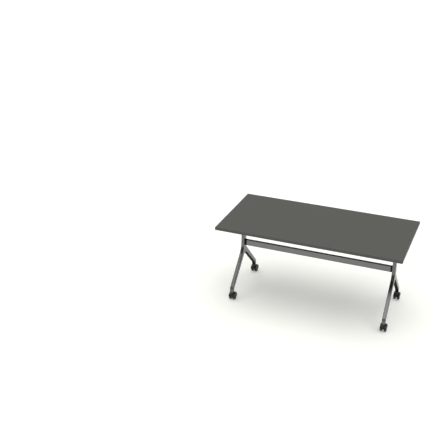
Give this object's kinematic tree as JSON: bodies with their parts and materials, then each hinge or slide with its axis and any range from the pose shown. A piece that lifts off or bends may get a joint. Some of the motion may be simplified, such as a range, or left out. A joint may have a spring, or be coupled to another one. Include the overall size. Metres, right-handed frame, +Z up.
{
  "type": "flip-top nesting desk",
  "caption": "Free-standing desk on casters whose whole top tips from level to upright on two pivots, so that desks nest for storage.",
  "frame": {"origin": "on the floor under the middle of the top", "axes": "+X along the desk, to the sitter's right; +Y away from the sitter; +Z up"},
  "size_m": [1.534, 0.762, 0.724],
  "materials": {
    "dark_laminate": "dark grey laminate on board, fine matt texture",
    "dark_edging": "dark grey plastic edging",
    "satin_aluminium": "satin grey aluminium",
    "black_cast_aluminium": "black painted casting",
    "black_coated_steel": "black powder coat",
    "bright_steel": "zinc plated",
    "pale_bearing_plastic": "moulded bearing plastic",
    "black_plastic": "fine moulded texture",
    "hood_plastic": "satin moulded plastic",
    "wheel_nylon": "moulded nylon",
    "soft_rubber": "soft rubber"
  },
  "bodies": {
    "frame": {"left_column": "satin_aluminium", "right_column": "satin_aluminium", "left_rear_leg": "satin_aluminium", "right_rear_leg": "satin_aluminium", "stretcher_beam": "satin_aluminium", "left_beam_socket": "black_plastic", "right_beam_socket": "black_plastic", "beam_bolts": "bright_steel", "left_flip_head": "black_cast_aluminium", "right_flip_head": "black_cast_aluminium", "head_bolts": "bright_steel", "pivot_bushes": "pale_bearing_plastic", "left_leg_strips": "black_plastic", "right_leg_strips": "black_plastic", "stop_pins": "bright_steel", "rest_pads": "soft_rubber", "front_left_stem_socket": "black_plastic", "front_right_stem_socket": "black_plastic", "rear_left_stem_socket": "black_plastic", "rear_right_stem_socket": "black_plastic"},
    "top": {"top_panel": "dark_laminate", "front_edge_band": "dark_edging", "rear_edge_band": "dark_edging", "left_edge_band": "dark_edging", "right_edge_band": "dark_edging", "left_tilt_plate": "black_coated_steel", "right_tilt_plate": "black_coated_steel", "plate_screws": "bright_steel", "pivot_pins": "bright_steel"},
    "release_bar": {"release_rod": "bright_steel", "left_latch_hook": "bright_steel", "right_latch_hook": "bright_steel", "left_release_paddle": "black_plastic", "right_release_paddle": "black_plastic", "left_latch_spring": "bright_steel", "right_latch_spring": "bright_steel"},
    "front_left_caster": {"front_left_caster_stem": "black_coated_steel", "front_left_caster_hood": "hood_plastic", "front_left_caster_axle": "bright_steel"},
    "front_left_inner_roller": {"front_left_inner_wheel": "wheel_nylon"},
    "front_left_outer_roller": {"front_left_outer_wheel": "wheel_nylon"},
    "front_left_brake": {"front_left_brake_pedal": "black_plastic"},
    "front_right_caster": {"front_right_caster_stem": "black_coated_steel", "front_right_caster_hood": "hood_plastic", "front_right_caster_axle": "bright_steel"},
    "front_right_inner_roller": {"front_right_inner_wheel": "wheel_nylon"},
    "front_right_outer_roller": {"front_right_outer_wheel": "wheel_nylon"},
    "front_right_brake": {"front_right_brake_pedal": "black_plastic"},
    "rear_left_caster": {"rear_left_caster_stem": "black_coated_steel", "rear_left_caster_hood": "hood_plastic", "rear_left_caster_axle": "bright_steel"},
    "rear_left_inner_roller": {"rear_left_inner_wheel": "wheel_nylon"},
    "rear_left_outer_roller": {"rear_left_outer_wheel": "wheel_nylon"},
    "rear_left_brake": {"rear_left_brake_pedal": "black_plastic"},
    "rear_right_caster": {"rear_right_caster_stem": "black_coated_steel", "rear_right_caster_hood": "hood_plastic", "rear_right_caster_axle": "bright_steel"},
    "rear_right_inner_roller": {"rear_right_inner_wheel": "wheel_nylon"},
    "rear_right_outer_roller": {"rear_right_outer_wheel": "wheel_nylon"},
    "rear_right_brake": {"rear_right_brake_pedal": "black_plastic"}
  },
  "joints": [
    {"name": "top_tilt", "type": "hinge", "parent": "frame", "child": "top", "pos_m": [0, 0.084, 0.685], "axis": [-1, 0, 0], "range_deg": [0, 90]},
    {"name": "release_turn", "type": "hinge", "parent": "top", "child": "release_bar", "pos_m": [0, -0.114, 0.684], "axis": [1, 0, 0], "range_deg": [0, 18], "stiffness_Nm_per_rad": 0.6, "springref_deg": 18},
    {"name": "front_left_swivel", "type": "hinge", "parent": "frame", "child": "front_left_caster", "pos_m": [-0.655, -0.27, 0.1], "axis": [0, 0, 1], "continuous": true},
    {"name": "front_left_inner_roll", "type": "hinge", "parent": "front_left_caster", "child": "front_left_inner_roller", "pos_m": [-0.655, -0.252, 0.03], "axis": [1, 0, 0], "continuous": true},
    {"name": "front_left_outer_roll", "type": "hinge", "parent": "front_left_caster", "child": "front_left_outer_roller", "pos_m": [-0.655, -0.252, 0.03], "axis": [1, 0, 0], "continuous": true},
    {"name": "front_left_brake_tip", "type": "hinge", "parent": "front_left_caster", "child": "front_left_brake", "pos_m": [-0.655, -0.21439, 0.04754], "axis": [-1, 0, 0], "range_deg": [0, 15]},
    {"name": "front_right_swivel", "type": "hinge", "parent": "frame", "child": "front_right_caster", "pos_m": [0.655, -0.27, 0.1], "axis": [0, 0, 1], "continuous": true},
    {"name": "front_right_inner_roll", "type": "hinge", "parent": "front_right_caster", "child": "front_right_inner_roller", "pos_m": [0.655, -0.252, 0.03], "axis": [1, 0, 0], "continuous": true},
    {"name": "front_right_outer_roll", "type": "hinge", "parent": "front_right_caster", "child": "front_right_outer_roller", "pos_m": [0.655, -0.252, 0.03], "axis": [1, 0, 0], "continuous": true},
    {"name": "front_right_brake_tip", "type": "hinge", "parent": "front_right_caster", "child": "front_right_brake", "pos_m": [0.655, -0.21439, 0.04754], "axis": [-1, 0, 0], "range_deg": [0, 15]},
    {"name": "rear_left_swivel", "type": "hinge", "parent": "frame", "child": "rear_left_caster", "pos_m": [-0.655, 0.276, 0.1], "axis": [0, 0, 1], "continuous": true},
    {"name": "rear_left_inner_roll", "type": "hinge", "parent": "rear_left_caster", "child": "rear_left_inner_roller", "pos_m": [-0.655, 0.294, 0.03], "axis": [1, 0, 0], "continuous": true},
    {"name": "rear_left_outer_roll", "type": "hinge", "parent": "rear_left_caster", "child": "rear_left_outer_roller", "pos_m": [-0.655, 0.294, 0.03], "axis": [1, 0, 0], "continuous": true},
    {"name": "rear_left_brake_tip", "type": "hinge", "parent": "rear_left_caster", "child": "rear_left_brake", "pos_m": [-0.655, 0.33161, 0.04754], "axis": [-1, 0, 0], "range_deg": [0, 15]},
    {"name": "rear_right_swivel", "type": "hinge", "parent": "frame", "child": "rear_right_caster", "pos_m": [0.655, 0.276, 0.1], "axis": [0, 0, 1], "continuous": true},
    {"name": "rear_right_inner_roll", "type": "hinge", "parent": "rear_right_caster", "child": "rear_right_inner_roller", "pos_m": [0.655, 0.294, 0.03], "axis": [1, 0, 0], "continuous": true},
    {"name": "rear_right_outer_roll", "type": "hinge", "parent": "rear_right_caster", "child": "rear_right_outer_roller", "pos_m": [0.655, 0.294, 0.03], "axis": [1, 0, 0], "continuous": true},
    {"name": "rear_right_brake_tip", "type": "hinge", "parent": "rear_right_caster", "child": "rear_right_brake", "pos_m": [0.655, 0.33161, 0.04754], "axis": [-1, 0, 0], "range_deg": [0, 15]}
  ]
}
